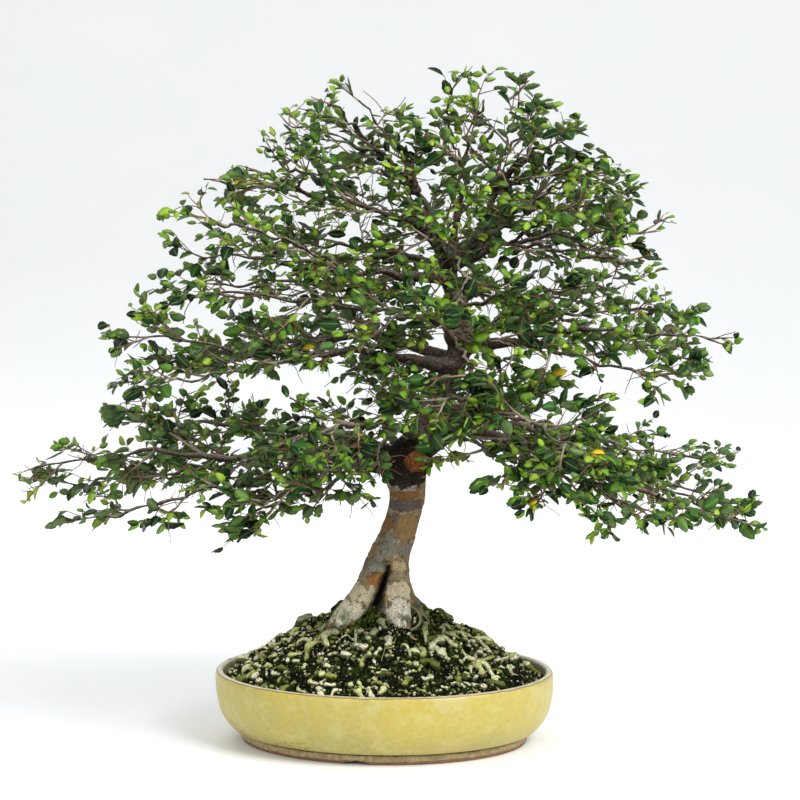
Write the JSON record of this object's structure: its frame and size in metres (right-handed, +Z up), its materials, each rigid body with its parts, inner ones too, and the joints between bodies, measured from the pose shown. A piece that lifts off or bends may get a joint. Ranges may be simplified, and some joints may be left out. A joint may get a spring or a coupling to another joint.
{
  "type": "chinese elm bonsai in an oval pot",
  "caption": "Broad-crowned Chinese elm bonsai with layered leafy limbs, grown over a mound of roots and grit in a shallow oval glazed pot on a foot ring.",
  "frame": {"origin": "centre of the pot's foot, on the surface that it stands on", "axes": "+X to the right and along the crown's length as the tree is seen from its front, +Y away from the viewer, +Z up; the pot's long axis is turned 7 degrees clockwise from X"},
  "size_m": [0.6139, 0.4143, 0.5422],
  "materials": {
    "glaze": "gloss",
    "soil": "matte",
    "bark": "matte",
    "leaf": "satin",
    "screen": "matte",
    "wire": "satin"
  },
  "bodies": {
    "root": {"pot": "glaze", "drain_screen_left": "screen", "drain_screen_right": "screen", "screen_clip_left": "wire", "screen_clip_right": "wire", "soil": "soil", "tree": "bark", "low_left_front_spray_1": "leaf", "low_left_front_spray_2": "leaf", "low_left_front_spray_3": "leaf", "low_left_back_spray_1": "leaf", "low_left_back_spray_2": "leaf", "low_left_back_spray_3": "leaf", "low_right_front_spray_1": "leaf", "low_right_front_spray_2": "leaf", "low_right_front_spray_3": "leaf", "low_right_back_spray_1": "leaf", "low_right_back_spray_2": "leaf", "low_right_back_spray_3": "leaf", "low_front_left_spray_1": "leaf", "low_front_right_spray_1": "leaf", "low_back_spray_1": "leaf", "low_back_spray_2": "leaf", "mid_left_front_spray_1": "leaf", "mid_left_front_spray_2": "leaf", "mid_left_back_spray_1": "leaf", "mid_right_front_spray_1": "leaf", "mid_right_front_spray_2": "leaf", "mid_right_back_spray_1": "leaf", "mid_front_spray_1": "leaf", "mid_back_spray_1": "leaf", "upper_left_front_spray_1": "leaf", "upper_left_front_spray_2": "leaf", "upper_left_back_spray_1": "leaf", "upper_left_back_spray_2": "leaf", "upper_right_front_spray_1": "leaf", "upper_right_back_spray_1": "leaf", "upper_front_spray_1": "leaf", "upper_back_spray_1": "leaf", "crown_left_spray_1": "leaf", "crown_left_spray_2": "leaf", "crown_right_spray_1": "leaf", "apex_left_spray_1": "leaf", "apex_left_top_spray_1": "leaf", "apex_middle_spray_1": "leaf", "apex_right_top_spray_1": "leaf", "apex_right_spray_1": "leaf"}
  },
  "joints": []
}
